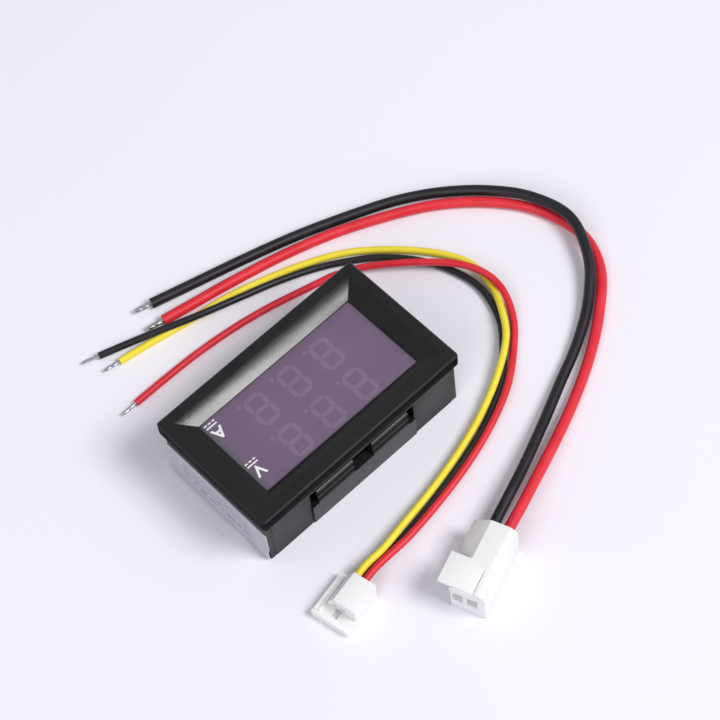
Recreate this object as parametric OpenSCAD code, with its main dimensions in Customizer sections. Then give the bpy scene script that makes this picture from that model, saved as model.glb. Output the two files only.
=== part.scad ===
// Snap-in digital panel meter with its two plug-in leads (millimetres, +Z up).
// It rests on its rear rim, display facing up; X is the display's right,
// Y the display's up.

/* [Bezel and housing] */
// length of the bezel
bezel_l = 48; // [44:0.5:56]
// width of the bezel
bezel_w = 29; // [27:0.5:34]
// height of the whole meter, rear rim to bezel face
total_h = 16; // [15:0.25:20]
// thickness of the bezel
bezel_t = 2.75; // [2.5:0.05:3.2]
// width of the flat rim on the bezel face
rim_w = 2.35; // [1.8:0.05:2.6]
// radius of the bezel's upright corners
bezel_r = 0.9; // [0.4:0.1:1.6]
// how far the bezel stands out past the body, long way
lip_x = 0.7; // [0.6:0.05:1.2]
// how far the bezel stands out past the body, short way
lip_y = 1.0; // [0.9:0.05:1.4]
// wall thickness of the body
wall = 1.4; // [1.2:0.05:1.6]
// how far the rear lip stands out on the short walls
rear_lip = 0.3; // [0.1:0.05:0.4]

/* [Snap tabs] */
// width of each snap tab
tab_w = 25.6; // [20:0.2:30]
// height of the tab's plain part
tab_h = 6; // [5.5:0.1:6.5]
// how far the tab stands out at the rear edge
tab_out = 0.23; // [0.1:0.01:0.3]
// width of the gap between the two groups of teeth
tab_gap = 4.7; // [3:0.1:6]

/* [Window] */
// length of the window opening
win_l = 36.8; // [34:0.1:38]
// width of the window opening
win_w = 18.4; // [17:0.1:19.4]
// depth of the window below the bezel face
win_depth = 2; // [1.6:0.1:2.2]
// thickness of the window
win_t = 1; // [0.8:0.1:1.2]

/* [Displays and board] */
// distance from digit to digit
digit_pitch = 8; // [7.4:0.1:8.2]
// height of a digit
digit_h = 7; // [6:0.1:7.4]
// height of one display module
disp_h = 6; // [5.5:0.1:6.2]
// width of one display module
disp_w = 8.9; // [8.4:0.1:9]
// thickness of the circuit board
pcb_t = 1.2; // [1:0.1:1.4]
// side of the trimmer bodies
trim_w = 4; // [3.8:0.1:4.4]
// diameter of the trimmer rotors
rotor_d = 2.6; // [2.2:0.1:2.8]
// wire diameter of the current shunt
shunt_d = 1.6; // [1.2:0.1:1.8]

/* [Headers] */
// length of the signal header's shell
socket_l = 7.9; // [7.4:0.1:8.4]
// width of the signal header's shell
socket_w = 4.6; // [4.2:0.1:5.2]
// length of the power header's foot
foot_l = 7.9; // [7.4:0.1:8.4]
// width of the power header's foot
foot_w = 8.4; // [8:0.1:9]
// thickness of the power header's foot
foot_t = 2; // [1.6:0.1:2.4]

/* [Leads] */
// diameter of the two thick wires
thick_d = 2.1; // [1.8:0.1:2.1]
// diameter of the three thin wires
thin_d = 1.4; // [1.2:0.1:1.4]
// length of the bare wire ends
bare_l = 3.4; // [2.5:0.1:4]

/* [Hidden] */
body_l = bezel_l - 2*lip_x;
body_w = bezel_w - 2*lip_y;
under = total_h - bezel_t;
in_l = body_l - 2*wall;
in_w = body_w - 2*wall;
win_top = total_h - win_depth;
pocket_l = win_l + 2.2;
pocket_w = win_w + 2.2;
disp_l = 3*digit_pitch;
disp_y = disp_w/2 + 0.05;
disp_top = win_top - win_t - 0.2;
pcb_top = disp_top - disp_h;
pcb_bot = pcb_top - pcb_t;
pcb_l = in_l - 0.4;
pcb_w = in_w - 0.9;
post = 2;
across_x = in_l/43.8;
across_y = in_w/24.2;
cut_top = under - 2.9;
tooth_x0 = tab_gap/2;
tooth_x1 = tab_w/2 - 1.6;
label_top = 9.3;
label_t = 0.2;
clear = 0.05;
trim_h = 1.6;
volt_trim = place(-3.6, -5.6);
amp_trim = place(2.2, -5.6);
signal_at = place(-14.2, 6.6);
power_at = place(13.2, 5.4);
shunt_at = place(13.4, -6.4);
shunt_pitch = 9.6*across_x;
mcu_at = place(-13.6, -5.2);
amp_ic_at = place(2.6, 4.6);
reg_at = place(-4.6, 6.4);
cap_at = [place(-5.4, 2.9), place(-19.2, -0.4)];
res_at = [place(-8.2, -3.2), place(6.4, -3.6), place(-2, 10.4), place(4.2, 10.4)];
header_h = 5.2;
pin_pitch = 2;
pin_w = 0.5;
power_pos = [-6.6, 40.7];
power_turn = 21;
power_h = 8.5;
power_pitch = 2.8;
power_z = 4.2;
signal_pos = [15.9, 29.1];
signal_turn = 11;
signal_h = 5.5;
// across the plug and up, for the yellow, black and red wires
signal_ways = [[-0.95, 3.1], [-0.05, 1.75], [0.8, 3.1]];
entry = 2;

case_black = "#26262a";
smoke = "#7a6880";
board_green = "#1f7a48";
chip_black = "#1c1c1e";
steel = "#b8bcc2";
brass = "#c8a24a";
nylon = "#eceae4";
paper = "#c9c9d2";

// wire routes past the plugs, plug end first, bare end last
thick_black_route = [[-15, 36, 3.8], [-20.5, 33.8, 3.2], [-29.5, 29.8, 2.1],
  [-38, 25.8, 1.3], [-46.5, 22, 1.2], [-54.5, 17.2, 1.7], [-61, 11, 2.8],
  [-64.9, 2.5, 3.5], [-63.2, -6.3, 3.3], [-59, -14, 2.1], [-53, -20.6, 1.2],
  [-46, -25.4, 1.1], [-38, -29.2, 1.1], [-27, -33.6, 1.1], [-16, -37.1, 1.1],
  [-5, -40.2, 1.1], [3.5, -42.6, 1.1]];
thick_red_route = [[-14, 39.5, 3.8], [-19.5, 37.4, 3.2], [-28.5, 33.9, 2.1],
  [-37.5, 30, 1.2], [-46, 25.7, 1.1], [-54, 20.5, 1.1], [-61.3, 14, 1.1],
  [-64.6, 7, 1.1], [-64.2, 0, 1.1], [-61.8, -6.7, 1.1], [-56.7, -13.5, 1.1],
  [-50.2, -19.3, 1.1], [-42.8, -23.8, 1.1], [-32.5, -28.7, 1.1],
  [-21.5, -32.4, 1.1], [-10, -35.2, 1.1], [-1.5, -36.9, 1.1], [4.3, -38.1, 1.1]];
yellow_route = [[8.4, 27.3, 2.75], [2.9, 26.3, 2.35], [-5.6, 24.8, 1.85],
  [-14.4, 22.8, 1.7], [-23, 20.1, 1.7], [-31.2, 16.4, 2], [-38.1, 11.8, 2.4],
  [-42.3, 6, 2.2], [-44.6, 1, 1], [-45.4, -5, 0.8], [-42.7, -11.3, 0.8],
  [-37.2, -18.2, 0.8], [-30.7, -24, 0.8], [-23, -28.1, 0.8], [-15, -31.1, 0.8],
  [-7, -33.4, 0.8], [1, -34.6, 0.8], [10, -36.4, 0.8], [16, -37.4, 0.8]];
thin_black_route = [[8.8, 28.1, 1.5], [3, 27.5, 1.1], [-5.6, 26.1, 0.8],
  [-14.3, 24.2, 0.75], [-23.1, 21.5, 0.75], [-31.3, 17.3, 0.75], [-36, 13, 0.75],
  [-39.7, 8.8, 0.8], [-42, 4, 0.8], [-42.9, -1, 0.8], [-41.8, -6.8, 0.8],
  [-39.3, -12.3, 0.8], [-36, -16.8, 0.8], [-32, -20.6, 0.85], [-25, -25.2, 0.85],
  [-17, -28.4, 1.5], [-8.5, -30.8, 2.3], [0, -33.5, 2.6], [8, -37, 1.9],
  [13, -39.3, 1.1], [18, -41.2, 0.8]];
thin_red_route = [[8.9, 29, 2.7], [3.2, 28.7, 2.25], [-5.5, 27.4, 1.8],
  [-14.2, 25.6, 1.65], [-22.8, 23, 1.65], [-31.1, 19.2, 1.6], [-38.2, 13.7, 0.8],
  [-42.5, 9.2, 1.1], [-44.9, 4, 2.3], [-44.9, -1, 2.8], [-42.8, -6, 2.7],
  [-38.8, -10.8, 2.6], [-34.7, -14.8, 2.4], [-30.4, -18.6, 1.9],
  [-25.8, -21.6, 1.2], [-20.3, -23.5, 0.8], [-11.8, -25.8, 0.8],
  [-3.4, -27.3, 0.8], [5, -28.1, 0.8], [13, -28.3, 0.8], [19.7, -28.3, 0.8]];

// a place on the board, given for the standard inside length and width
function place(x, y) = [x*across_x, y*across_y];

function unit2(a) = [cos(a), sin(a)];
function at2(p, a, u, v) = p + u*unit2(a) + v*unit2(a + 90);

function dir3(a) = a/norm(a);

// points along a smooth curve through p, steps to each stretch
function curve(p, steps) = let (n = len(p)) concat(
  [for (i = [0:n - 2], j = [0:steps - 1]) let (
    t = j/steps,
    a = i > 0 ? p[i - 1] : 2*p[0] - p[1],
    d = i < n - 2 ? p[i + 2] : 2*p[n - 1] - p[n - 2])
    0.5*(2*p[i] + (p[i + 1] - a)*t + (2*a - 5*p[i] + 4*p[i + 1] - d)*t*t
      + (3*p[i] - a - 3*p[i + 1] + d)*t*t*t)],
  [p[n - 1]]);

function way(c, i) = let (n = len(c) - 1)
  dir3(i == 0 ? c[1] - c[0] : i == n ? c[n] - c[n - 1] : c[i + 1] - c[i - 1]);

// closed tube of eight sides along the points c
module tube(c, d) {
  n = len(c);
  polyhedron(
    points = [for (i = [0:n - 1]) let (
      t = way(c, i), s = dir3(cross([0, 0, 1], t)), u = cross(t, s))
      for (k = [0:7]) c[i] + d/2*(cos(45*k)*s + sin(45*k)*u)],
    faces = concat([[for (k = [7:-1:0]) k]],
      [for (i = [0:n - 2], k = [0:7])
        [8*i + k, 8*i + (k + 1)%8, 8*i + 8 + (k + 1)%8, 8*i + 8 + k]],
      [[for (k = [0:7]) 8*(n - 1) + k]]));
}

function start(pos, a, v, z) = [for (u = [entry, -3])
  concat(at2(pos, a, u, v), [u > 0 ? z : z - 0.05])];

thick_black_path = curve(concat(
  start(power_pos, power_turn, -power_pitch/2, power_z), thick_black_route), 2);
thick_red_path = curve(concat(
  start(power_pos, power_turn, power_pitch/2, power_z), thick_red_route), 2);
yellow_path = curve(concat(
  start(signal_pos, signal_turn, signal_ways[0][0], signal_ways[0][1]), yellow_route), 2);
thin_black_path = curve(concat(
  start(signal_pos, signal_turn, signal_ways[1][0], signal_ways[1][1]), thin_black_route), 2);
thin_red_path = curve(concat(
  start(signal_pos, signal_turn, signal_ways[2][0], signal_ways[2][1]), thin_red_route), 2);

module tip(c, d) {
  n = len(c) - 1;
  t = way(c, n);
  tube([c[n], c[n] + bare_l/2*t, c[n] + bare_l*t], d);
}

// block centred on x and y, standing on z
module block(x, y, z, l, w, h) {
  translate([x - l/2, y - w/2, z]) cube([l, w, h]);
}

module rbox(l, w, h, r) {
  linear_extrude(height = h) union() {
    square([l - 2*r, w], center = true);
    square([l, w - 2*r], center = true);
    for (x = [-1, 1], y = [-1, 1])
      translate([x*(l/2 - r), y*(w/2 - r)]) circle(r = r, $fn = 24);
  }
}

// sloping opening, l1 by w1 at the bottom and l2 by w2 at the top
module slope(l1, w1, l2, w2, h) {
  polyhedron(
    points = [for (q = [[l1, w1, 0], [l2, w2, h]])
      for (s = [[-1, -1], [1, -1], [1, 1], [-1, 1]])
        [s[0]*q[0]/2, s[1]*q[1]/2, q[2]]],
    faces = [[0, 1, 2, 3], [7, 6, 5, 4], [1, 0, 4, 5], [2, 1, 5, 6],
      [3, 2, 6, 7], [0, 3, 7, 4]]);
}

// outline in y and z, run along x from x0 to x1
module run_x(x0, x1, pts) {
  translate([x0, 0, 0]) rotate([90, 0, 90])
    linear_extrude(height = x1 - x0) polygon(pts);
}

module tab() {
  y = body_w/2;
  run_x(-tab_w/2, tab_w/2, [[y - 0.4, 0], [y + tab_out, 0],
    [y + 0.45, tab_h], [y - 0.4, tab_h]]);
}

// the two groups of three snap teeth that stand on the tab
module teeth() {
  y = body_w/2;
  for (m = [0, 1]) mirror([m, 0, 0])
    run_x(tooth_x0, tooth_x1, [[y - wall, tab_h - 0.2], [y + 0.45, tab_h - 0.2],
      [y + 0.45, tab_h + 0.4], [y - 0.05, tab_h + 0.4], [y + 0.35, tab_h + 2.1],
      [y - 0.1, tab_h + 2.1], [y + 0.3, tab_h + 3.75], [y - 0.15, tab_h + 3.75],
      [y - 0.15, tab_h + 3.9], [y - wall, tab_h + 3.9]]);
}

module hook() {
  translate([in_l/2, 1.5, 0]) rotate([90, 0, 0]) linear_extrude(height = 3)
    polygon([[0.2, pcb_bot - 1.2], [0.2, pcb_bot], [-0.45, pcb_bot], [0, pcb_bot - 1.2]]);
}

module housing() color(case_black) {
  difference() {
    union() {
      translate([0, 0, under]) difference() {
        rbox(bezel_l, bezel_w, bezel_t, bezel_r);
        for (a = [0, 180]) rotate([0, 0, a]) {
          translate([0, bezel_w/2, bezel_t]) rotate([45, 0, 0])
            cube([bezel_l + 2, 0.4, 0.4], center = true);
          translate([bezel_l/2, 0, bezel_t]) rotate([0, 45, 0])
            cube([0.4, bezel_w + 2, 0.4], center = true);
        }
      }
      block(0, 0, 0, body_l, body_w, under + 0.5);
      block(0, 0, 0, body_l + 2*rear_lip, body_w - 1, 3);
      for (a = [0, 180]) rotate([0, 0, a]) tab();
    }
    block(0, 0, -1, in_l, in_w, under + 1);
    block(0, 0, under - 1, pocket_l, pocket_w, win_top - under + 1);
    block(0, 0, under, win_l, win_w, bezel_t - 1);
    translate([0, 0, win_top + 0.3])
      slope(win_l, win_w, bezel_l - 2*rim_w, bezel_w - 2*rim_w, win_depth - 0.3);
    translate([0, 0, total_h]) block(0, 0, 0, bezel_l - 2*rim_w, bezel_w - 2*rim_w, 1);
    for (a = [0, 180]) rotate([0, 0, a]) {
      block(0, body_w/2, tab_h, tab_w, 2*wall + 2, cut_top - tab_h);
      for (s = [-1, 1]) block(s*body_l/2, body_w/2, -1, 2.8, 0.12, under + 1);
    }
  }
  for (a = [0, 180]) rotate([0, 0, a]) teeth();
  for (x = [-1, 1], y = [-1, 1])
    block(x*(in_l - post)/2, y*(in_w - post)/2, pcb_top, post + 0.02, post + 0.02,
      under - pcb_top + 0.02);
  for (a = [0, 180], y = [-6, 6]) rotate([0, 0, a]) translate([0, y, 0]) hook();
}

module window() color(smoke)
  block(0, 0, win_top - win_t, pocket_l - 0.2, pocket_w - 0.2, win_t);

// one bar of a digit, drawn flat, lying along x
module bar(l) {
  polygon([[-l/2, 0], [-l/2 + 0.45, 0.45], [l/2 - 0.45, 0.45], [l/2, 0],
    [l/2 - 0.45, -0.45], [-l/2 + 0.45, -0.45]]);
}

module digit(h) {
  w = 0.5*digit_h;
  s = (digit_h - 0.9)/2;
  linear_extrude(height = h) {
    for (y = [-s, 0, s]) translate([0, y]) bar(w - 0.15);
    for (x = [-w/2, w/2], y = [-s/2, s/2]) translate([x, y]) rotate(90) bar(s - 0.15);
    translate([w/2 + 1.05, -s]) circle(d = 0.9, $fn = 8);
  }
}

module digits(y, z, h) {
  for (i = [-1:1]) translate([i*digit_pitch - 0.5, y, z]) digit(h);
}

module display(y) {
  difference() {
    block(0, y, pcb_top, disp_l, disp_w, disp_h);
    digits(y, disp_top - 0.6, 1);
  }
  for (i = [-2.5:2.5], s = [-1, 1])
    block(i*2.54, y + s*(disp_w/2 - 0.75), pcb_bot - 0.9, 0.5, 0.5, pcb_t + 1);
}

module volt_display() color(chip_black) display(disp_y);
module amp_display() color(chip_black) display(-disp_y);
module volt_segments() color(nylon) digits(disp_y, disp_top - 0.6, 0.6);
module amp_segments() color(nylon) digits(-disp_y, disp_top - 0.6, 0.6);

module pcb() color(board_green) difference() {
  block(0, 0, pcb_bot, pcb_l, pcb_w, pcb_t);
  for (m = [-1, 1], i = [-2.5:2.5], s = [-1, 1])
    block(i*2.54, m*disp_y + s*(disp_w/2 - 0.75), pcb_bot - 1, 0.8, 0.8, pcb_t + 2);
  for (i = [-1:1]) translate([signal_at[0] + i*pin_pitch, signal_at[1], pcb_bot - 1])
    cylinder(d = 0.9, h = pcb_t + 2, $fn = 16);
  for (i = [-1, 1]) {
    translate([power_at[0] + i*power_pitch/2, power_at[1], pcb_bot - 1])
      cylinder(d = 1.7, h = pcb_t + 2, $fn = 16);
    translate([shunt_at[0] + i*shunt_pitch/2, shunt_at[1], pcb_bot - 1])
      cylinder(d = shunt_d + 0.2, h = pcb_t + 2, $fn = 16);
  }
}

// chip hanging from the board, with n leads to a side
module chip(at, l, w, h, n, pitch) {
  block(at[0], at[1], pcb_bot - 0.1 - h, l, w, h);
  for (i = [0:n - 1], s = [-1, 1])
    translate([at[0] + (i - (n - 1)/2)*pitch, at[1] + s*w/2, pcb_bot])
      for (q = [[0.1*s, 0.5, h/2 + 0.1], [0.5*s, 0.8, 0.2]])
        translate([0, q[0], -q[2]]) block(0, 0, 0, 0.3, q[1], q[2]);
}

module microcontroller() color(chip_black) chip(mcu_at, 6.5, 4.4, 0.9, 10, 0.65);
module amplifier() color(chip_black) chip(amp_ic_at, 4.9, 3.9, 1.4, 4, 1.27);
module regulator() color(chip_black) {
  block(reg_at[0], reg_at[1], pcb_bot - 1.5, 4.5, 2.5, 1.5);
  for (i = [-1:1]) block(reg_at[0] + 1.5*i, reg_at[1] - 1.6, pcb_bot - 0.4, 0.4, 1, 0.4);
}

module capacitor(at) block(at[0], at[1], pcb_bot - 1.6, 3.2, 1.6, 1.6);
module capacitor_1() color(brass) capacitor(cap_at[0]);
module capacitor_2() color(brass) capacitor(cap_at[1]);

module resistor(at) block(at[0], at[1], pcb_bot - 0.5, 2, 1.25, 0.5);
module resistor_1() color(chip_black) resistor(res_at[0]);
module resistor_2() color(chip_black) resistor(res_at[1]);
module resistor_3() color(chip_black) resistor(res_at[2]);
module resistor_4() color(chip_black) resistor(res_at[3]);

module trimmer(at) translate([at[0], at[1], pcb_bot - trim_h]) difference() {
  block(0, 0, 0, trim_w, trim_w, trim_h);
  translate([0, 0, -1]) cylinder(d = rotor_d + 2*clear, h = 2, $fn = 32);
  cylinder(d = 0.9, h = 1.4, $fn = 24);
}

module rotor(at) translate([at[0], at[1], pcb_bot - trim_h]) {
  difference() {
    translate([0, 0, -0.3]) cylinder(d = rotor_d, h = 1.25, $fn = 32);
    translate([0, 0, -1]) {
      block(0, 0, 0, 1.8, 0.4, 1.05);
      block(0, 0, 0, 0.4, 1.8, 1.05);
      block(0, rotor_d/4, 0, 0.4, rotor_d/2 + 0.2, 1.05);
    }
  }
  translate([0, 0, 0.9]) cylinder(d = 0.8, h = 0.45, $fn = 24);
}

module volt_trimmer() color(nylon) trimmer(volt_trim);
module amp_trimmer() color(nylon) trimmer(amp_trim);
module volt_trimmer_rotor() color(brass) rotor(volt_trim);
module amp_trimmer_rotor() color(brass) rotor(amp_trim);

module signal_socket() color(nylon)
  translate([signal_at[0], signal_at[1], pcb_bot - header_h]) difference() {
    block(0, 0, 0, socket_l, socket_w, header_h);
    block(0, 0, -1, socket_l - 1.2, socket_w - 1.1, header_h);
    for (s = [-1, 1]) block(s*pin_pitch, socket_w/2, -1, 1, 2, header_h);
    for (i = [-1:1]) block(i*pin_pitch, 0, 0, pin_w, pin_w, header_h + 1);
  }

module signal_pin(i) color(steel)
  block(signal_at[0] + pin_pitch*i, signal_at[1], pcb_bot - 4.4, pin_w, pin_w, 4.3 + pcb_t);
module signal_pin_1() signal_pin(-1);
module signal_pin_2() signal_pin(0);
module signal_pin_3() signal_pin(1);

module power_header() color(nylon)
  translate([power_at[0], power_at[1], pcb_bot]) difference() {
    union() {
      block(0, 0, -foot_t, foot_l, foot_w, foot_t);
      block(0, foot_w/2 - 0.4, -header_h, foot_l, 0.8, header_h);
    }
    for (i = [-1, 1]) block(i*power_pitch/2, 0, -foot_t - 1, 1.1, 1.1, foot_t + 2);
  }

module power_pin(i) color(steel)
  block(power_at[0] + i*power_pitch/2, power_at[1], pcb_bot - 5, 1.1, 1.1, 4.9 + pcb_t);
module power_pin_1() power_pin(-1);
module power_pin_2() power_pin(1);

module shunt() color(brass) translate([shunt_at[0], shunt_at[1], 0]) {
  r = 1.6;
  z = 1.6;
  for (m = [0, 1]) mirror([m, 0, 0]) {
    translate([shunt_pitch/2, 0, z + r])
      cylinder(d = shunt_d, h = pcb_top - 0.1 - z - r, $fn = 16);
    translate([shunt_pitch/2 - r, 0, z + r]) rotate([-90, 0, 0])
      rotate_extrude(angle = 90, $fn = 48) translate([r, 0]) circle(d = shunt_d, $fn = 16);
  }
  translate([-shunt_pitch/2 + r, 0, z]) rotate([0, 90, 0])
    cylinder(d = shunt_d, h = shunt_pitch - 2*r, $fn = 16);
}

// how far the sticker's free lower edge stands off at y
function flare(y) = 0.1 + 0.06*cos(y*14) + 0.03*sin(y*47);

// height of the sticker's uneven lower edge at y
function hem(y) = 0.5 + 0.12*cos(30*y) - 0.35*max(0, 1 - abs(y - 6.5)/2.5);

function off(y, z) = z > 3.5 ? 0 : rear_lip + flare(y)*(3 - z)/3;

module label() color(paper) {
  ys = [for (i = [-10:10]) i*(body_w/2 - 0.1)/10];
  zs = [0, 1.5, 3, 3.7, 6, label_top];
  n = len(ys);
  m = len(zs);
  polyhedron(
    points = [for (t = [0, label_t], h = zs, y = ys) let (z = max(h, hem(y)))
      [body_l/2 + off(y, z) + t, y, z]],
    faces = concat(
      [for (j = [0:m - 2], i = [0:n - 2]) let (a = j*n + i) [a, a + n, a + n + 1, a + 1]],
      [for (j = [0:m - 2], i = [0:n - 2]) let (a = (m + j)*n + i)
        [a, a + 1, a + n + 1, a + n]],
      [for (i = [0:n - 2]) [i, i + 1, m*n + i + 1, m*n + i]],
      [for (i = [0:n - 2]) let (a = (m - 1)*n + i) [a + 1, a, m*n + a, m*n + a + 1]],
      [for (j = [0:m - 2]) let (a = j*n) [a + n, a, m*n + a, m*n + a + n]],
      [for (j = [0:m - 2]) let (a = j*n + n - 1)
        [a, a + n, m*n + a + n, m*n + a]]));
}

// places a plug's pieces: u along the plug, v across it, z up
module at_plug(pos, a) translate([pos[0], pos[1], 0]) rotate([0, 0, a]) children();

module box(u0, u1, v0, v1, z0, z1) translate([u0, v0, z0]) cube([u1 - u0, v1 - v0, z1 - z0]);

module power_plug() color(nylon) at_plug(power_pos, power_turn) difference() {
  union() {
    translate([-1, 0, 0]) rotate([90, 0, 90]) linear_extrude(height = 14.4)
      polygon([[-3.95, 0], [3.95, 0], [3.95, 6.9], [3.5, 7.9], [2.5, power_h],
        [-1.2, power_h], [-4.6, 5.9], [-4.6, 4.9], [-3.95, 4.4]]);
    box(7.2, 13.4, -5.15, -1.2, power_h - 0.6, power_h);
  }
  translate([8.8, 0, 0]) rotate([90, 0, 90]) linear_extrude(height = 6)
    polygon([[-6, -1], [-2.75, -1], [-2.75, 5.6], [-3.2, power_h - 0.6],
      [-6, power_h - 0.6]]);
  box(8.4, 14, 1.6, 1.8, power_h - 0.5, power_h + 1);
  box(8.8, 11.8, 3.6, 5, power_h - 1.6, power_h + 1);
  for (s = [-1, 1]) translate([0, s*power_pitch/2, power_z]) {
    rotate([0, 90, 0]) translate([0, 0, -2]) cylinder(d = thick_d + 0.2, h = entry + 2, $fn = 24);
    box(entry, 14, -1, 1, -1.3, 1.3);
  }
}

module power_terminal(s) color(steel) at_plug(power_pos, power_turn)
  translate([0, s*power_pitch/2, power_z]) {
    box(entry, entry + 3, -0.8, 0.8, -0.8, 0.8);
    difference() {
      box(entry + 3, 12.4, -1, 1, -1.3, 1.3);
      box(entry + 4, 13, -0.7, 0.7, -1, 1);
    }
  }
module power_terminal_1() power_terminal(-1);
module power_terminal_2() power_terminal(1);

module signal_plug() color(nylon) at_plug(signal_pos, signal_turn) difference() {
  union() {
    rotate([90, 0, 90]) linear_extrude(height = 6.4)
      polygon([[-2.4, 0], [3.6, 0], [3.6, signal_h], [-1, signal_h], [-2.4, 3.2]]);
    box(0, 9.2, -4.3, 3.6, 0, 1.9);
    for (v = [-4.1, -3.3]) box(1.5, 8.4, v, v + 0.4, 0, 2.3);
  }
  for (w = signal_ways) translate([0, w[0], w[1]]) {
    rotate([0, 90, 0]) translate([0, 0, -1]) cylinder(d = thin_d + 0.08, h = entry + 1, $fn = 24);
    box(entry, 8, -0.55, 0.55, -0.55, 0.55);
  }
}

module signal_terminal(i) color(steel) at_plug(signal_pos, signal_turn)
  translate([0, signal_ways[i][0], signal_ways[i][1]])
    box(entry, 6, -0.55, 0.55, -0.55, 0.55);
module signal_terminal_1() signal_terminal(0);
module signal_terminal_2() signal_terminal(1);
module signal_terminal_3() signal_terminal(2);

module thick_black_wire() color("#1c1c22") tube(thick_black_path, thick_d);
module thick_red_wire() color("#d8202f") tube(thick_red_path, thick_d);
module yellow_wire() color("#efd82e") tube(yellow_path, thin_d);
module thin_black_wire() color("#1c1c22") tube(thin_black_path, thin_d);
module thin_red_wire() color("#d8202f") tube(thin_red_path, thin_d);
module thick_black_end() color(steel) tip(thick_black_path, 1.1);
module thick_red_end() color(steel) tip(thick_red_path, 1.1);
module yellow_end() color(steel) tip(yellow_path, 0.7);
module thin_black_end() color(steel) tip(thin_black_path, 0.7);
module thin_red_end() color(steel) tip(thin_red_path, 0.7);

housing();
window();
volt_display();
amp_display();
volt_segments();
amp_segments();
pcb();
microcontroller();
amplifier();
regulator();
capacitor_1();
capacitor_2();
resistor_1();
resistor_2();
resistor_3();
resistor_4();
volt_trimmer();
volt_trimmer_rotor();
amp_trimmer();
amp_trimmer_rotor();
signal_socket();
signal_pin_1();
signal_pin_2();
signal_pin_3();
power_header();
power_pin_1();
power_pin_2();
shunt();
label();
power_plug();
power_terminal_1();
power_terminal_2();
signal_plug();
signal_terminal_1();
signal_terminal_2();
signal_terminal_3();
thick_black_wire();
thick_red_wire();
yellow_wire();
thin_black_wire();
thin_red_wire();
thick_black_end();
thick_red_end();
yellow_end();
thin_black_end();
thin_red_end();
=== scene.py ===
import bpy
import bmesh
import math
from mathutils import Matrix, Vector


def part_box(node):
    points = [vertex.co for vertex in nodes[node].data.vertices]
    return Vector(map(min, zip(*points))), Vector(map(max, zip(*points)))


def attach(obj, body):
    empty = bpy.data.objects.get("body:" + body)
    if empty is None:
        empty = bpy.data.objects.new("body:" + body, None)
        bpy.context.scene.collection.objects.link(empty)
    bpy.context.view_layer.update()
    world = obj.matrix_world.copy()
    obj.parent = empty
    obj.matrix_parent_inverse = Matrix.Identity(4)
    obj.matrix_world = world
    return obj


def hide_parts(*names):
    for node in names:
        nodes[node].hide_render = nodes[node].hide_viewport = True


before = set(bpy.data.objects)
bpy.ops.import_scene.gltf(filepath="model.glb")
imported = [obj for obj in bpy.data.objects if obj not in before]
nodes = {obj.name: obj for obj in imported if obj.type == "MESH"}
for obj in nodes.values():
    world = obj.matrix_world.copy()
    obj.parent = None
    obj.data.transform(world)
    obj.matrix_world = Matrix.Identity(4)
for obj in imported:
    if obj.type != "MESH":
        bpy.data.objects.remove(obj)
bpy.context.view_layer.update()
scene = bpy.context.scene
scene.view_settings.view_transform = "Standard"

# small helpers
def pick(*pieces):
    if bpy.context.object and bpy.context.object.mode != "OBJECT":
        bpy.ops.object.mode_set(mode="OBJECT")
    bpy.ops.object.select_all(action="DESELECT")
    for piece in pieces:
        piece.select_set(True)
    bpy.context.view_layer.objects.active = pieces[-1]


def named(name, body="meter"):
    piece = bpy.context.object
    piece.name = name
    piece.data.name = name
    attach(piece, body)
    return piece


def settle(piece):
    pick(piece)
    bpy.ops.object.transform_apply(location=True, rotation=True, scale=True)
    return piece


def applyAll(piece):
    pick(piece)
    for modifier in list(piece.modifiers):
        bpy.ops.object.modifier_apply(modifier=modifier.name)


def editing(piece, mode="FACE"):
    pick(piece)
    bpy.ops.object.mode_set(mode="EDIT")
    bpy.ops.mesh.select_mode(type=mode)
    bpy.ops.mesh.select_all(action="DESELECT")
    return bmesh.from_edit_mesh(piece.data)


def doneEditing():
    bpy.ops.object.mode_set(mode="OBJECT")


def choose(mesh, parts, test):
    chosen = 0
    for part in parts:
        if test(part):
            part.select_set(True)
            chosen += 1
    mesh.select_flush_mode()
    return chosen


def edgeMiddle(edge):
    return (edge.verts[0].co + edge.verts[1].co)/2


def rise(edge):
    return abs(edge.verts[0].co.z - edge.verts[1].co.z)


def sharp(edge, degrees):
    return len(edge.link_faces) == 2 and edge.calc_face_angle(0) > math.radians(degrees)


def joined(pieces, name, body="meter"):
    pick(*pieces)
    if len(pieces) > 1:
        bpy.ops.object.join()
    return named(name, body)


def smooth(piece, angle=30):
    pick(piece)
    bpy.ops.object.shade_smooth_by_angle(angle=math.radians(angle))


# camera
cameraSet = {
    "place": (0.11914, 0.18170, 0.39342),
    "right": (-0.72459, 0.68496, -0.07611),
    "up": (-0.62199, -0.60239, 0.50025),
    "back": (0.29680, 0.40982, 0.86253),
    "lens": 121.26,
}
bpy.ops.object.camera_add(location=cameraSet["place"])
camera = bpy.context.object
camera.rotation_euler = Matrix(
    (cameraSet["right"], cameraSet["up"], cameraSet["back"])).transposed().to_euler()
camera.data.lens = cameraSet["lens"]
camera.data.sensor_width = 36
camera.data.clip_start = 0.01
scene.camera = camera
print("camera placed")

# finishes
def newGroup(name, inputs, outputs):
    group = bpy.data.node_groups.new(name, "ShaderNodeTree")
    for label, kind, value in inputs:
        socket = group.interface.new_socket(name=label, in_out="INPUT", socket_type=kind)
        if value is not None:
            socket.default_value = value
    for label, kind in outputs:
        group.interface.new_socket(name=label, in_out="OUTPUT", socket_type=kind)
    return group, group.nodes.new("NodeGroupInput"), group.nodes.new("NodeGroupOutput")


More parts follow.
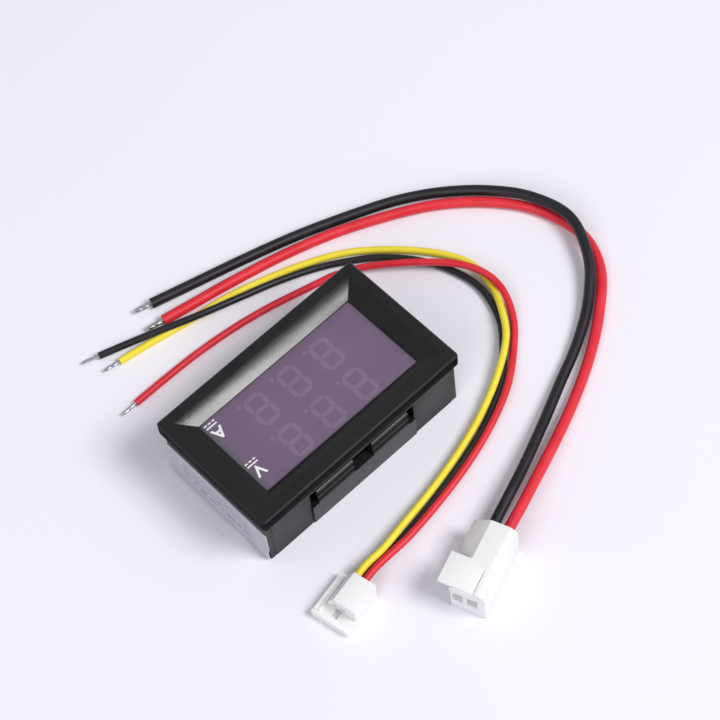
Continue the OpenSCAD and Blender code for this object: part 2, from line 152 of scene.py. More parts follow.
def addNode(tree, kind, values=None, links=None):
    node = tree.nodes.new(kind)
    for key, value in (values or {}).items():
        if isinstance(key, int) or key in node.inputs.keys():
            node.inputs[key].default_value = value
        else:
            setattr(node, key, value)
    for key, source in (links or {}).items():
        tree.links.new(source, node.inputs[key])
    return node


def mixed(tree, factor, first, second, blend="MIX"):
    node = tree.nodes.new("ShaderNodeMix")
    node.data_type = "RGBA"
    node.blend_type = blend
    for index, value in ((0, factor), (6, first), (7, second)):
        if isinstance(value, bpy.types.NodeSocket):
            tree.links.new(value, node.inputs[index])
        else:
            node.inputs[index].default_value = value
    return node.outputs[2]


def spread(tree, value, low, high, toLow=0.0, toHigh=1.0):
    node = addNode(tree, "ShaderNodeMapRange", {"From Min": low, "From Max": high,
        "To Min": toLow, "To Max": toHigh}, {"Value": value})
    return node.outputs["Result"]


def mathOf(tree, operation, first, second):
    node = addNode(tree, "ShaderNodeMath", {"operation": operation})
    for index, value in ((0, first), (1, second)):
        if isinstance(value, bpy.types.NodeSocket):
            tree.links.new(value, node.inputs[index])
        else:
            node.inputs[index].default_value = value
    return node.outputs["Value"]


cloudSpan = (0.3, 0.7)  # the part of a noise's range that its patches use


def moulded():
    group, start, end = newGroup("mouldedGrain", [
        ("Place", "NodeSocketVector", None),
        ("Colour", "NodeSocketColor", (0.5, 0.5, 0.5, 1)),
        ("Worn Colour", "NodeSocketColor", (0.6, 0.6, 0.6, 1)),
        ("Grain Size", "NodeSocketFloat", 4000.0),
        ("Cloud Size", "NodeSocketFloat", 120.0),
        ("Low Roughness", "NodeSocketFloat", 0.35),
        ("High Roughness", "NodeSocketFloat", 0.5)],
        [("Colour", "NodeSocketColor"), ("Roughness", "NodeSocketFloat"),
            ("Height", "NodeSocketFloat")])
    fine = addNode(group, "ShaderNodeTexNoise", {"Detail": 3.0, "Roughness": 0.6},
        {"Vector": start.outputs["Place"], "Scale": start.outputs["Grain Size"]})
    cloud = addNode(group, "ShaderNodeTexNoise", {"Detail": 4.0},
        {"Vector": start.outputs["Place"], "Scale": start.outputs["Cloud Size"]})
    patch = spread(group, cloud.outputs["Fac"], 0.35, 0.7)
    group.links.new(mixed(group, patch, start.outputs["Colour"], start.outputs["Worn Colour"]),
        end.inputs["Colour"])
    rough = addNode(group, "ShaderNodeMapRange",
        {"From Min": cloudSpan[0], "From Max": cloudSpan[1]},
        {"Value": cloud.outputs["Fac"], "To Min": start.outputs["Low Roughness"],
            "To Max": start.outputs["High Roughness"]})
    group.links.new(rough.outputs["Result"], end.inputs["Roughness"])
    group.links.new(fine.outputs["Fac"], end.inputs["Height"])
    return group


grainGroup = moulded()
grainDepth = 0.00002


def startMaterial(name):
    material = bpy.data.materials.new(name)
    material.use_nodes = True
    tree = material.node_tree
    surface = tree.nodes["Principled BSDF"]
    place = tree.nodes.new("ShaderNodeTexCoord").outputs["Object"]
    return material, tree, surface, place


def bumped(tree, surface, height, strength, depth):
    raised = addNode(tree, "ShaderNodeBump", {"Strength": strength, "Distance": depth},
        {"Height": height})
    tree.links.new(raised.outputs["Normal"], surface.inputs["Normal"])


def grainNode(tree, surface, place, colour, worn, grain, cloud, rough, bump):
    group = tree.nodes.new("ShaderNodeGroup")
    group.node_tree = grainGroup
    tree.links.new(place, group.inputs["Place"])
    group.inputs["Colour"].default_value = (*colour, 1)
    group.inputs["Worn Colour"].default_value = (*worn, 1)
    group.inputs["Grain Size"].default_value = grain
    group.inputs["Cloud Size"].default_value = cloud
    group.inputs["Low Roughness"].default_value = rough[0]
    group.inputs["High Roughness"].default_value = rough[1]
    tree.links.new(group.outputs["Roughness"], surface.inputs["Roughness"])
    bumped(tree, surface, group.outputs["Height"], bump, grainDepth)
    return group.outputs["Colour"]


def grained(name, colour, worn, grain=4000.0, cloud=120.0, rough=(0.35, 0.5), bump=0.1, **fixed):
    material, tree, surface, place = startMaterial(name)
    colouring = grainNode(tree, surface, place, colour, worn, grain, cloud, rough, bump)
    tree.links.new(colouring, surface.inputs["Base Color"])
    for key, value in fixed.items():
        surface.inputs[key.replace("_", " ")].default_value = value
    return material


def finish(piece, material):
    piece.data.materials.clear()
    piece.data.materials.append(material)
    return piece


finishes = {
    "caseBlack": grained("caseBlack", (0.0055, 0.005, 0.006), (0.0085, 0.008, 0.009),
        grain=5200.0, rough=(0.32, 0.42), bump=0.6),
    "caseSlope": grained("caseSlope", (0.0055, 0.005, 0.006), (0.0075, 0.007, 0.008),
        grain=5200.0, rough=(0.16, 0.22), bump=0.6, Specular_IOR_Level=0.48),
    # The two looks below are copies of the case plastic made duller and less reflective: painted
    # shade on the bezel's sides and the body's walls.
    "caseSideShade": grained("caseSideShade", (0.006, 0.0055, 0.0075), (0.009, 0.0085, 0.0105),
        grain=5200.0, rough=(0.5, 0.6), bump=0.5, Specular_IOR_Level=0.02),
    "caseWallShade": grained("caseWallShade", (0.0055, 0.005, 0.006), (0.0085, 0.008, 0.009),
        grain=5200.0, rough=(0.38, 0.48), bump=0.6, Specular_IOR_Level=0.28),
    "pvcRed": grained("pvcRed", (0.7, 0.014, 0.03), (0.78, 0.028, 0.045), grain=1500.0,
        cloud=260.0, rough=(0.4, 0.5), bump=0.15),
    "pvcYellow": grained("pvcYellow", (0.88, 0.72, 0.03), (0.92, 0.78, 0.06), grain=1500.0,
        cloud=260.0, rough=(0.4, 0.5), bump=0.15),
    "pvcBlack": grained("pvcBlack", (0.007, 0.007, 0.01), (0.012, 0.012, 0.016), grain=1500.0,
        cloud=260.0, rough=(0.38, 0.48), bump=0.15),
    "tinned": grained("tinned", (0.66, 0.66, 0.68), (0.5, 0.5, 0.53), grain=2600.0,
        cloud=900.0, rough=(0.2, 0.38), bump=0.25, Metallic=1.0),
    "nylon": grained("nylon", (0.88, 0.88, 0.89), (0.85, 0.85, 0.85), grain=3000.0,
        cloud=180.0, rough=(0.38, 0.5), bump=0.12),
    "displayBlack": grained("displayBlack", (0.03, 0.026, 0.032), (0.04, 0.034, 0.042),
        rough=(0.5, 0.6)),
    "segmentMilk": grained("segmentMilk", (0.6, 0.5, 0.58), (0.66, 0.56, 0.64),
        rough=(0.3, 0.4)),
    "chipBlack": grained("chipBlack", (0.02, 0.02, 0.022), (0.028, 0.028, 0.03),
        grain=7000.0, rough=(0.5, 0.62)),
    "sandCeramic": grained("sandCeramic", (0.42, 0.29, 0.17), (0.48, 0.34, 0.2),
        rough=(0.35, 0.5)),
    "resistorBlack": grained("resistorBlack", (0.015, 0.015, 0.02), (0.02, 0.02, 0.025),
        rough=(0.25, 0.35)),
    "trimmerCream": grained("trimmerCream", (0.75, 0.72, 0.62), (0.7, 0.66, 0.56),
        rough=(0.4, 0.5)),
    "brassTurned": grained("brassTurned", (0.72, 0.55, 0.24), (0.62, 0.46, 0.2),
        rough=(0.25, 0.4), Metallic=1.0),
    "copperAlloy": grained("copperAlloy", (0.62, 0.42, 0.28), (0.5, 0.34, 0.24),
        rough=(0.28, 0.42), Metallic=1.0),
}


windowSet = {"smoke": (0.256, 0.182, 0.288), "edge": (0.2, 0.18, 0.215), "edgeFrom": 0.0174,
    "edgeBlur": 0.0002, "lighter": 1.08, "cloud": 90.0, "rough": (0.24, 0.34), "clearness": 0.5}


def smokedWindow():
    material, tree, surface, place = startMaterial("smokedWindow")
    cloud = addNode(tree, "ShaderNodeTexNoise", {"Scale": windowSet["cloud"], "Detail": 3.0},
        {"Vector": place})
    patch = spread(tree, cloud.outputs["Fac"], *cloudSpan)
    smoke = mixed(tree, patch, (*windowSet["smoke"], 1),
        (*[windowSet["lighter"]*value for value in windowSet["smoke"]], 1))
    across = addNode(tree, "ShaderNodeSeparateXYZ", links={"Vector": place}).outputs["X"]
    band = spread(tree, across, windowSet["edgeFrom"] - windowSet["edgeBlur"],
        windowSet["edgeFrom"] + windowSet["edgeBlur"])
    tree.links.new(mixed(tree, band, smoke, (*windowSet["edge"], 1)), surface.inputs["Base Color"])
    tree.links.new(spread(tree, cloud.outputs["Fac"], *cloudSpan, *windowSet["rough"]),
        surface.inputs["Roughness"])
    surface.inputs["Alpha"].default_value = 1 - windowSet["clearness"]
    return material


# The paper and worn tones are a grey paper: painted shade over the white sticker, which sits on the
# shaded side of the case.
labelSet = {"paper": (0.52, 0.525, 0.58), "worn": (0.45, 0.455, 0.51), "ink": (0.27, 0.27, 0.32),
    "grain": 2600.0, "cloud": 300.0, "rough": (0.5, 0.62), "bump": 0.2, "dash": 1500.0,
    "dashStretch": (0.0, 1.0, 0.9), "dashCut": (0.47, 0.53),
    "rowPitch": 0.00105, "rowShare": 0.42, "from": -0.0095, "to": 0.0085, "margin": 0.0005,
    "low": 0.003, "high": 0.008, "blur": 0.0001, "rowBlur": 0.00003}


def labelPaper():
    material, tree, surface, place = startMaterial("labelPaper")
    # This paper colour carries painted shade.
    paper = grainNode(tree, surface, place, labelSet["paper"], labelSet["worn"], labelSet["grain"],
        labelSet["cloud"], labelSet["rough"], labelSet["bump"])
    parts = addNode(tree, "ShaderNodeSeparateXYZ", links={"Vector": place})
    rows = addNode(tree, "ShaderNodeMath", {"operation": "PINGPONG", 1: labelSet["rowPitch"]/2},
        {0: parts.outputs["Z"]}).outputs["Value"]
    half = labelSet["rowPitch"]*labelSet["rowShare"]/2
    row = spread(tree, rows, half + labelSet["rowBlur"], half - labelSet["rowBlur"])
    stretched = addNode(tree, "ShaderNodeMapping", {"Scale": labelSet["dashStretch"]},
        {"Vector": place})
    dashes = addNode(tree, "ShaderNodeTexNoise", {"Scale": labelSet["dash"], "Detail": 1.0},
        {"Vector": stretched.outputs["Vector"]})
    dash = spread(tree, dashes.outputs["Fac"], *labelSet["dashCut"])
    ink = mathOf(tree, "MULTIPLY", row, dash)
    for axis, start, end in (  # the printed block, with soft borders
            ("Y", labelSet["from"], labelSet["from"] + labelSet["margin"]),
            ("Y", labelSet["to"] + labelSet["margin"], labelSet["to"]),
            ("Z", labelSet["low"], labelSet["low"] + labelSet["blur"]),
            ("Z", labelSet["high"], labelSet["high"] - labelSet["blur"])):
        ink = mathOf(tree, "MULTIPLY", ink, spread(tree, parts.outputs[axis], start, end))
    tree.links.new(mixed(tree, ink, paper, (*labelSet["ink"], 1)), surface.inputs["Base Color"])
    return material


# The edge colour, from edgeFrom outwards, is a near-black band on the board's long sides: painted
# shade where the housing's inside is dark.
boardSet = {"mask": (0.008, 0.1, 0.04), "trace": (0.018, 0.19, 0.075), "cell": 340.0,
    "gap": (0.07, 0.1), "pour": (0.52, 0.525), "cloud": 160.0, "rough": (0.22, 0.34),
    "edge": (0.012, 0.014, 0.01), "edgeFrom": 0.01135, "edgeBlur": 0.0001, "bump": 0.5,
    "copper": 0.00004}


def boardGreen():
    material, tree, surface, place = startMaterial("boardGreen")
    cells = addNode(tree, "ShaderNodeTexVoronoi", {"feature": "DISTANCE_TO_EDGE",
        "Scale": boardSet["cell"]}, {"Vector": place})
    gap = spread(tree, cells.outputs["Distance"], boardSet["gap"][1], boardSet["gap"][0])
    cloud = addNode(tree, "ShaderNodeTexNoise", {"Scale": boardSet["cloud"], "Detail": 1.0},
        {"Vector": place})
    pour = spread(tree, cloud.outputs["Fac"], *boardSet["pour"])
    copper = mathOf(tree, "MAXIMUM", mathOf(tree, "SUBTRACT", pour, gap), 0.0)
    green = mixed(tree, copper, (*boardSet["mask"], 1), (*boardSet["trace"], 1))
    # The board's long edges are coloured near black: painted shade inside the housing.
    across = addNode(tree, "ShaderNodeSeparateXYZ", links={"Vector": place}).outputs["Y"]
    shadedRim = spread(tree, mathOf(tree, "ABSOLUTE", across, 0.0), boardSet["edgeFrom"],
        boardSet["edgeFrom"] + boardSet["edgeBlur"])
    tree.links.new(mixed(tree, shadedRim, green, (*boardSet["edge"], 1)), surface.inputs["Base Color"])
    tree.links.new(spread(tree, cloud.outputs["Fac"], *cloudSpan, *boardSet["rough"]),
        surface.inputs["Roughness"])
    bumped(tree, surface, copper, boardSet["bump"], boardSet["copper"])
    return material


finishes["smokedWindow"] = smokedWindow()
finishes["labelPaper"] = labelPaper()
finishes["boardGreen"] = boardGreen()
print("finishes made")

# leads
plugs = {
    "power": {"place": (-0.0066, 0.0407), "turn": 21},
    "signal": {"place": (0.0159, 0.0291), "turn": 11},
}
leads = {
    "thickBlack": {"node": "thick_black", "diameter": 0.0021, "finish": "pvcBlack",
        "plug": "power", "side": -0.0014, "height": 0.0042, "core": 0.0011, "route": [
        (-0.015, 0.036, 0.0038), (-0.0205, 0.0338, 0.0032), (-0.0295, 0.0298, 0.0021),
        (-0.038, 0.0258, 0.0013), (-0.0465, 0.022, 0.0012), (-0.0545, 0.0172, 0.0017),
        (-0.061, 0.011, 0.0028), (-0.0649, 0.0025, 0.0035), (-0.0632, -0.0063, 0.0033),
        (-0.059, -0.014, 0.0021), (-0.053, -0.0206, 0.0012), (-0.046, -0.0254, 0.0011),
        (-0.038, -0.0292, 0.0011), (-0.027, -0.0336, 0.0011), (-0.016, -0.0371, 0.0011),
        (-0.005, -0.0402, 0.0011), (0.0035, -0.0426, 0.0011)]},
    "thickRed": {"node": "thick_red", "diameter": 0.0021, "finish": "pvcRed",
        "plug": "power", "side": 0.0014, "height": 0.0042, "core": 0.0011, "route": [
        (-0.014, 0.0395, 0.0038), (-0.0195, 0.0374, 0.0032), (-0.0285, 0.0339, 0.0021),
        (-0.0375, 0.03, 0.0012), (-0.046, 0.0257, 0.0011), (-0.054, 0.0205, 0.0011),
        (-0.0613, 0.014, 0.0011), (-0.0646, 0.007, 0.0011), (-0.0642, 0, 0.0011),
        (-0.0618, -0.0067, 0.0011), (-0.0567, -0.0135, 0.0011), (-0.0502, -0.0193, 0.0011),
        (-0.0428, -0.0238, 0.0011), (-0.0325, -0.0287, 0.0011), (-0.0215, -0.0324, 0.0011),
        (-0.01, -0.0352, 0.0011), (-0.0015, -0.0369, 0.0011), (0.0043, -0.0381, 0.0011)]},
    "yellow": {"node": "yellow", "diameter": 0.0014, "finish": "pvcYellow",
        "plug": "signal", "side": -0.00095, "height": 0.0031, "core": 0.0007, "route": [
        (0.0084, 0.0273, 0.00275), (0.0029, 0.0263, 0.00235), (-0.0056, 0.0248, 0.00185),
        (-0.0144, 0.0228, 0.0017), (-0.023, 0.0201, 0.0017), (-0.0312, 0.0164, 0.002),
        (-0.0381, 0.0118, 0.0024), (-0.0423, 0.006, 0.0022), (-0.0446, 0.001, 0.001),
        (-0.0454, -0.005, 0.0008), (-0.0427, -0.0113, 0.0008), (-0.0372, -0.0182, 0.0008),
        (-0.0307, -0.024, 0.0008), (-0.023, -0.0281, 0.0008), (-0.015, -0.0311, 0.0008),
        (-0.007, -0.0334, 0.0008), (0.001, -0.0346, 0.0008), (0.01, -0.0364, 0.0008),
        (0.016, -0.0374, 0.0008)]},
    "thinBlack": {"node": "thin_black", "diameter": 0.0014, "finish": "pvcBlack",
        "plug": "signal", "side": -0.00005, "height": 0.00175, "core": 0.0007, "route": [
        (0.0088, 0.0281, 0.0015), (0.003, 0.0275, 0.0011), (-0.0056, 0.0261, 0.0008),
        (-0.0143, 0.0242, 0.00075), (-0.0231, 0.0215, 0.00075), (-0.0313, 0.0173, 0.00075),
        (-0.036, 0.013, 0.00075), (-0.0397, 0.0088, 0.0008), (-0.042, 0.004, 0.0008),
        (-0.0429, -0.001, 0.0008), (-0.0418, -0.0068, 0.0008), (-0.0393, -0.0123, 0.0008),
        (-0.036, -0.0168, 0.0008), (-0.032, -0.0206, 0.00085), (-0.025, -0.0252, 0.00085),
        (-0.017, -0.0284, 0.0015), (-0.0085, -0.0308, 0.0023), (0, -0.0335, 0.0026),
        (0.008, -0.037, 0.0019), (0.013, -0.0393, 0.0011), (0.018, -0.0412, 0.0008)]},
    "thinRed": {"node": "thin_red", "diameter": 0.0014, "finish": "pvcRed",
        "plug": "signal", "side": 0.0008, "height": 0.0031, "core": 0.0007, "route": [
        (0.0089, 0.029, 0.0027), (0.0032, 0.0287, 0.00225), (-0.0055, 0.0274, 0.0018),
        (-0.0142, 0.0256, 0.00165), (-0.0228, 0.023, 0.00165), (-0.0311, 0.0192, 0.0016),
        (-0.0382, 0.0137, 0.0008), (-0.0425, 0.0092, 0.0011), (-0.0449, 0.004, 0.0023),
        (-0.0449, -0.001, 0.0028), (-0.0428, -0.006, 0.0027), (-0.0388, -0.0108, 0.0026),
        (-0.0347, -0.0148, 0.0024), (-0.0304, -0.0186, 0.0019), (-0.0258, -0.0216, 0.0012),
        (-0.0203, -0.0235, 0.0008), (-0.0118, -0.0258, 0.0008), (-0.0034, -0.0273, 0.0008),
        (0.005, -0.0281, 0.0008), (0.013, -0.0283, 0.0008), (0.0197, -0.0283, 0.0008)]},
}
leadSet = {"inside": 0.002, "outside": -0.003, "droop": 0.00005, "steps": 8, "roundness": 6}
roundAngle = 50  # shading stays round below this many degrees
tipSet = {"length": 0.0034, "strands": 7, "dent": 0.14, "twist": 2.2, "taper": 0.14,
    "sides": 42, "cuts": 14}


def plugPoint(plug, along, across, height):
    turn = math.radians(plug["turn"])
    x, y = plug["place"]
    return Vector((x + along*math.cos(turn) - across*math.sin(turn),
        y + along*math.sin(turn) + across*math.cos(turn), height))


def smoothLine(points, steps):  # a soft curve through every point
    line = []
    for i in range(len(points) - 1):
        b, c = points[i], points[i + 1]
        a = points[i - 1] if i else 2*b - c
        d = points[i + 2] if i + 2 < len(points) else 2*c - b
        for step in range(steps):
            t = step/steps
            line.append(0.5*(2*b + (c - a)*t + (2*a - 5*b + 4*c - d)*t*t
                + (3*b - a - 3*c + d)*t**3))
    return line + [points[-1]]


def layLead(name, lead):
    plug = plugs[lead["plug"]]
    height = lead["height"]
    points = [plugPoint(plug, leadSet["inside"], lead["side"], height),
        plugPoint(plug, leadSet["outside"], lead["side"], height - leadSet["droop"])]
    points += [Vector(point) for point in lead["route"]]
    line = smoothLine(points, leadSet["steps"])
    curve = bpy.data.curves.new(name + "Wire", "CURVE")
    curve.dimensions = "3D"
    curve.bevel_depth = lead["diameter"]/2
    curve.bevel_resolution = leadSet["roundness"]
    curve.use_fill_caps = True
    spline = curve.splines.new("POLY")
    spline.points.add(len(line) - 1)
    for point, place in zip(spline.points, line):
        point.co = (*place, 1)
    spline.use_smooth = True
    wire = bpy.data.objects.new(name + "Wire", curve)
    scene.collection.objects.link(wire)
    wire.data.materials.append(finishes[lead["finish"]])
    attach(wire, "meter")
    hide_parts(lead["node"] + "_wire")
    tip = bareTip(name, lead, line)


def bareTip(name, lead, line):
    way = (line[-1] - line[-2]).normalized()
    length = tipSet["length"]
    bpy.ops.mesh.primitive_cylinder_add(vertices=tipSet["sides"], radius=lead["core"]/2,
        depth=length, end_fill_type="TRIFAN")
    tip = bpy.context.object
    mesh = editing(tip, "EDGE")
    choose(mesh, mesh.edges, lambda edge: rise(edge) > length/2)
    bpy.ops.mesh.subdivide(number_cuts=tipSet["cuts"])
    mesh = bmesh.from_edit_mesh(tip.data)
    for vert in mesh.verts:  # strands laid together, drawn in towards the cut
        share = vert.co.z/length + 0.5
        angle = math.atan2(vert.co.y, vert.co.x)
        reach = math.hypot(vert.co.x, vert.co.y)
        wave = abs(math.cos(tipSet["strands"]/2*(angle - tipSet["twist"]*share)))
        lobes = 1 - tipSet["dent"] + tipSet["dent"]*wave
        taper = 1 - tipSet["taper"]*share
        vert.co.x = reach*lobes*taper*math.cos(angle)
        vert.co.y = reach*lobes*taper*math.sin(angle)
    doneEditing()
    tip.rotation_euler = way.to_track_quat("Z", "Y").to_euler()
    tip.location = line[-1] + way*length/2
    settle(tip)
    named(name + "Tip")
    smooth(tip, roundAngle)
    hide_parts(lead["node"] + "_end")
    return finish(tip, finishes["tinned"])


for name, lead in leads.items():
    layLead(name, lead)
print("leads laid")

# moulded shells, as copies of the frame's solids with eased edges
weldReach = 0.0000005
flatAngle = 0.5


def anyEdge(place, edge):
    return True


def eased(node, name, reach, segments, test, degrees=25):
    pick(nodes[node])
    bpy.ops.object.duplicate()
    piece = named(name)
    mesh = editing(piece, "EDGE")
    bpy.ops.mesh.select_all(action="SELECT")
    bpy.ops.mesh.remove_doubles(threshold=weldReach)
    bpy.ops.mesh.dissolve_limited(angle_limit=math.radians(flatAngle))
    bpy.ops.mesh.select_all(action="DESELECT")
    mesh = bmesh.from_edit_mesh(piece.data)
    count = choose(mesh, mesh.edges,
        lambda edge: sharp(edge, degrees) and test(edgeMiddle(edge), edge))
    if count:
        bpy.ops.mesh.bevel(offset=reach, segments=segments, affect="EDGES", clamp_overlap=True)
    doneEditing()
    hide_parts(node)
    print(name, "eased", count, "edges")
    return piece


caseSet = {"ease": 0.00012, "lipUnder": 0.01325, "ledges": (0.0064, 0.0081, 0.00975),
    "bezelInside": (0.0184, 0.0092), "corner": (0.0232, 0.0134), "cornerRise": 0.004,
    "toothEnd": 0.0112, "wall": 0.01375, "sunkTop": 0.0139, "sunk": (0.0217, 0.0122),
    "bezelSide": (0.0237, 0.0142), "wallInside": (0.0223, 0.0125),
    "upright": 0.4, "sloping": (0.2, 0.95), "slack": 0.0001, "near": 0.00005}


def past(x, y, limits):
    return x > limits[0] or y > limits[1]


def caseEdges(place, edge):
    x, y, z = abs(place.x), abs(place.y), place.z
    onBezel = z > caseSet["lipUnder"] - caseSet["slack"] and past(x, y, caseSet["bezelInside"])
    corner = (x > caseSet["corner"][0] and y > caseSet["corner"][1]
        and rise(edge) > caseSet["cornerRise"])
    ledge = (x < caseSet["toothEnd"] and y > caseSet["wall"]
        and any(abs(z - level) < caseSet["near"] for level in caseSet["ledges"]))
    return onBezel or corner or ledge


# Faces of the bezel's sides and the body's walls take the dulled looks, which are painted shade.
def caseLook(face):  # places on the material list: rest, sunk frame, bezel's sides, body's walls
    x, y, z = abs(face.center.x), abs(face.center.y), face.center.z
    upright = abs(face.normal.z) < caseSet["upright"]
    if z > caseSet["sunkTop"] and x < caseSet["sunk"][0] and y < caseSet["sunk"][1]:
        if caseSet["sloping"][0] < face.normal.z < caseSet["sloping"][1]:
            return 1
    if z > caseSet["lipUnder"] and past(x, y, caseSet["bezelSide"]) and upright:
        return 2
    inside = caseSet["wallInside"]
    if z < caseSet["lipUnder"] and upright and (x > inside[0] or inside[1] < y < caseSet["wall"]):
        return 3
    return 0


case = eased("housing", "caseShell", caseSet["ease"], 2, caseEdges)
finish(case, finishes["caseBlack"])
for look in ("caseSlope", "caseSideShade", "caseWallShade"):
    case.data.materials.append(finishes[look])
for face in case.data.polygons:
    face.material_index = caseLook(face)
smooth(case)

plugEase = {"power": 0.00016, "signal": 0.00014}
for plug, reach in plugEase.items():
    shell = eased(plug + "_plug", plug + "PlugShell", reach, 2, anyEdge)
    finish(shell, finishes["nylon"])
    smooth(shell)

# finishes of the frame's own solids
nodeFinish = {
    "window": "smokedWindow", "volt_display": "displayBlack", "amp_display": "displayBlack",
    "volt_segments": "segmentMilk", "amp_segments": "segmentMilk", "pcb": "boardGreen",
    "microcontroller": "chipBlack", "amplifier": "chipBlack", "regulator": "chipBlack",
    "capacitor_1": "sandCeramic", "capacitor_2": "sandCeramic", "resistor_1": "resistorBlack",
    "resistor_2": "resistorBlack", "resistor_3": "resistorBlack", "resistor_4": "resistorBlack",
    "volt_trimmer": "trimmerCream", "amp_trimmer": "trimmerCream",
    "volt_trimmer_rotor": "brassTurned", "amp_trimmer_rotor": "brassTurned",
    "signal_socket": "nylon", "power_header": "nylon", "shunt": "copperAlloy",
    "label": "labelPaper",
    "signal_pin_1": "tinned", "signal_pin_2": "tinned", "signal_pin_3": "tinned",
    "power_pin_1": "tinned", "power_pin_2": "tinned",
    "power_terminal_1": "tinned", "power_terminal_2": "tinned",
    "signal_terminal_1": "tinned", "signal_terminal_2": "tinned", "signal_terminal_3": "tinned",
}
for node, look in nodeFinish.items():
    finish(nodes[node], finishes[look])

# chips with plated legs
chipSet = {"ease": 0.00003, "sharp": 40, "clear": 0.00001, "regulatorBody": 0.0025,
    "bodies": {"microcontroller": 0.0022, "amplifier": 0.00195}}


def twoTone(node, second, test):
    piece = eased(node, node + "Shell", chipSet["ease"], 2, anyEdge, chipSet["sharp"])
    finish(piece, finishes[nodeFinish[node]])
    piece.data.materials.append(finishes[second])
    for face in piece.data.polygons:
        if test(face.center):
            face.material_index = 1
    smooth(piece)


for node, halfWidth in chipSet["bodies"].items():
    low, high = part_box(node)
    middle = (low[1] + high[1])/2
    twoTone(node, "tinned", lambda place: abs(place.y - middle) > halfWidth + chipSet["clear"])
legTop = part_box("regulator")[1][1] - chipSet["regulatorBody"]
twoTone("regulator", "tinned", lambda place: place.y < legTop - chipSet["clear"])
print("chips legged")

# metal ends of the small resistors and capacitors
capSet = {"reach": 0.00038, "proud": 0.00001, "ease": 0.00006}


def endCaps(node):
    low, high = (Vector(corner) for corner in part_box(node))
    caps = []
    for side in (0, 1):
        centre = (low + high)/2
        centre.x = low.x + capSet["reach"]/2 if side == 0 else high.x - capSet["reach"]/2
        bpy.ops.object.select_all(action="DESELECT")
        bpy.ops.mesh.primitive_cube_add(size=1, location=centre)
        cap = bpy.context.object
        cap.scale = (capSet["reach"] + 2*capSet["proud"], high.y - low.y + 2*capSet["proud"],
            high.z - low.z + capSet["proud"])
        settle(cap)
        editing(cap, "EDGE")
        bpy.ops.mesh.select_all(action="SELECT")
        bpy.ops.mesh.bevel(offset=capSet["ease"], segments=2, affect="EDGES")
        doneEditing()
        caps.append(cap)
    piece = joined(caps, node + "Ends")
    smooth(piece)
    return finish(piece, finishes["tinned"])


smallParts = ("capacitor_1", "capacitor_2", "resistor_1", "resistor_2", "resistor_3",
    "resistor_4")
for node in smallParts:
    endCaps(node)
print("end caps fitted")

# solder joints under the displays and round the shunt's legs
jointSet = {"pitch": 0.00254, "columns": 6, "rowOut": 0.0037, "sunk": 0.00005, "legIn": 0.0008,
    "sides": 20, "cuts": 5, "hollow": 2.2}
pinJoint = {"foot": 0.00078, "top": 0.0003, "height": 0.00095}
legJoint = {"foot": 0.0016, "top": 0.00084, "height": 0.0009}


def solderJoint(x, y, foot, top, height):
    bpy.ops.object.select_all(action="DESELECT")
    bpy.ops.mesh.primitive_cylinder_add(vertices=jointSet["sides"], radius=foot, depth=height,
        end_fill_type="TRIFAN", location=(0, 0, 0))
    blob = bpy.context.object
    mesh = editing(blob, "EDGE")
    choose(mesh, mesh.edges, lambda edge: rise(edge) > height/2)
    bpy.ops.mesh.subdivide(number_cuts=jointSet["cuts"])
    mesh = bmesh.from_edit_mesh(blob.data)
    for vert in mesh.verts:  # hollow flanks, as solder wets a pin
        share = min(max(0.5 - vert.co.z/height, 0), 1)
        reach = 1 - (1 - top/foot)*(1 - (1 - share)**jointSet["hollow"])
        vert.co.x *= reach
        vert.co.y *= reach
    doneEditing()
    blob.location = (x, y, board + jointSet["sunk"] - height/2)
    return settle(blob)


def soldered(joints, name):
    solder = joined(joints, name)
    smooth(solder, roundAngle)
    finish(solder, finishes["tinned"])


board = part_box("pcb")[0][2]
joints = []
for display in ("volt_display", "amp_display"):
    low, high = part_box(display)
    middle = (low[1] + high[1])/2
    for side in (-1, 1):
        for i in range(jointSet["columns"]):
            x = (i - (jointSet["columns"] - 1)/2)*jointSet["pitch"]
            joints.append(solderJoint(x, middle + side*jointSet["rowOut"], **pinJoint))
soldered(joints, "solderJoints")
low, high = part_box("shunt")
soldered([solderJoint(x, (low[1] + high[1])/2, **legJoint)
    for x in (low[0] + jointSet["legIn"], high[0] - jointSet["legIn"])], "shuntSolder")
print("joints soldered")

# white outlines printed on the board
silkSet = {"line": 0.00015, "stand": 0.00035, "thick": 0.00002}
silkInk = grained("silkInk", (0.78, 0.8, 0.76), (0.7, 0.72, 0.68), rough=(0.5, 0.65))
frames = []
for node in ("microcontroller", "amplifier", "regulator", *smallParts, "volt_trimmer",
        "amp_trimmer", "signal_socket", "power_header"):
    low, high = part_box(node)
    bpy.ops.object.select_all(action="DESELECT")
    bpy.ops.mesh.primitive_plane_add(size=1,
        location=((low[0] + high[0])/2, (low[1] + high[1])/2, board))
    outline = bpy.context.object
    outline.scale = (high[0] - low[0] + 2*silkSet["stand"],
        high[1] - low[1] + 2*silkSet["stand"], 1)
    settle(outline)
    editing(outline)
    bpy.ops.mesh.select_all(action="SELECT")
    bpy.ops.mesh.inset(thickness=silkSet["line"])
    bpy.ops.mesh.delete(type="FACE")
    doneEditing()
    thicken = outline.modifiers.new("thicken", "SOLIDIFY")
    thicken.thickness = silkSet["thick"]
    thicken.offset = 0
    applyAll(outline)
    frames.append(outline)
finish(joined(frames, "silkOutlines"), silkInk)
print("outlines printed")

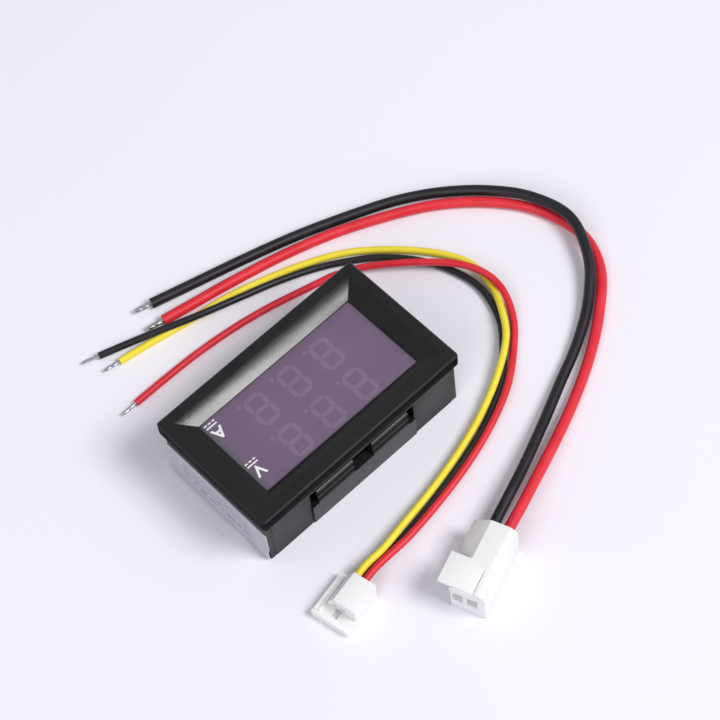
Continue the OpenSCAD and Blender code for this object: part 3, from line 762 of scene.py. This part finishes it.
# printed marks on the window
markSet = {"top": 0.01402, "bolder": 0.00007, "thick": 0.00002, "tall": 0.0034,
    "letters": {"V": (0.01655, 0.0038), "A": (0.0165, -0.00695)},
    "lines": {"Volt": 0.0032, "Amp": -0.0078}, "lineEnds": (0.0154, 0.0178), "lineWidth": 0.00028,
    "dashDown": 0.0007, "dashPitch": 0.0009, "dash": 0.0006}


def letter(text, name, x, y):
    bpy.ops.object.text_add(location=(x, y, markSet["top"]))
    words = bpy.context.object
    words.data.body = text
    words.data.size = markSet["tall"]
    words.data.align_x = "CENTER"
    words.data.extrude = markSet["thick"]/2
    words.data.offset = markSet["bolder"]
    bpy.ops.object.convert(target="MESH")
    settle(bpy.context.object)
    return named(name)


def strip(x0, x1, y):
    bpy.ops.mesh.primitive_cube_add(size=1, location=((x0 + x1)/2, y, markSet["top"]))
    bar = bpy.context.object
    bar.scale = (x1 - x0, markSet["lineWidth"], markSet["thick"])
    settle(bar)
    return bar


whiteInk = grained("whiteInk", (0.85, 0.85, 0.87), (0.8, 0.8, 0.82), rough=(0.4, 0.5))
for text, (x, base) in markSet["letters"].items():
    finish(letter(text, "mark" + text, x, base), whiteInk)
for side, y in markSet["lines"].items():  # a line over three dashes
    start, end = markSet["lineEnds"]
    bars = [strip(start, end, y)]
    for i in range(3):
        dashStart = start + markSet["dashPitch"]*i
        bars.append(strip(dashStart, dashStart + markSet["dash"], y - markSet["dashDown"]))
    finish(joined(bars, "direct" + side), whiteInk)
print("marks printed")

# floor and light
floorSet = {"pale": (0.87, 0.855, 0.93), "paler": (0.885, 0.87, 0.94), "size": 6, "cloud": 6.0,
    "rough": 0.9, "shine": 0.1}
studioSet = {"sky": (0.97, 0.97, 1.0), "skyStrength": 0.4, "target": (-0.015, 0, 0.005)}
lightSet = {
    "keyLight": {"towards": (-0.3, 0.56, 0.77), "distance": 1.4, "size": 0.54, "power": 13.0},
    "fillLight": {"towards": (0.72, 0.3, 0.62), "distance": 1.6, "size": 0.9, "power": 7.0},
}


def paleFloor():
    material, tree, surface, place = startMaterial("paleFloor")
    cloud = addNode(tree, "ShaderNodeTexNoise", {"Scale": floorSet["cloud"], "Detail": 2.0},
        {"Vector": place})
    tree.links.new(mixed(tree, spread(tree, cloud.outputs["Fac"], *cloudSpan),
        (*floorSet["pale"], 1), (*floorSet["paler"], 1)), surface.inputs["Base Color"])
    surface.inputs["Roughness"].default_value = floorSet["rough"]
    surface.inputs["Specular IOR Level"].default_value = floorSet["shine"]
    return material


bpy.ops.mesh.primitive_plane_add(size=floorSet["size"], location=(0, 0, 0))
floor = bpy.context.object
floor.name = "floor"
finish(floor, paleFloor())

world = bpy.data.worlds.new("studio")
world.use_nodes = True
scene.world = world
sky = world.node_tree.nodes["Background"]
sky.inputs["Color"].default_value = (*studioSet["sky"], 1)
sky.inputs["Strength"].default_value = studioSet["skyStrength"]


def softbox(name, towards, distance, size, power):
    way = Vector(towards).normalized()
    bpy.ops.object.light_add(type="AREA", location=Vector(studioSet["target"]) + way*distance)
    lamp = bpy.context.object
    lamp.name = name
    lamp.data.size = size
    lamp.data.energy = power
    lamp.rotation_euler = way.to_track_quat("Z", "Y").to_euler()


for name, light in lightSet.items():
    softbox(name, **light)
print("studio lit")
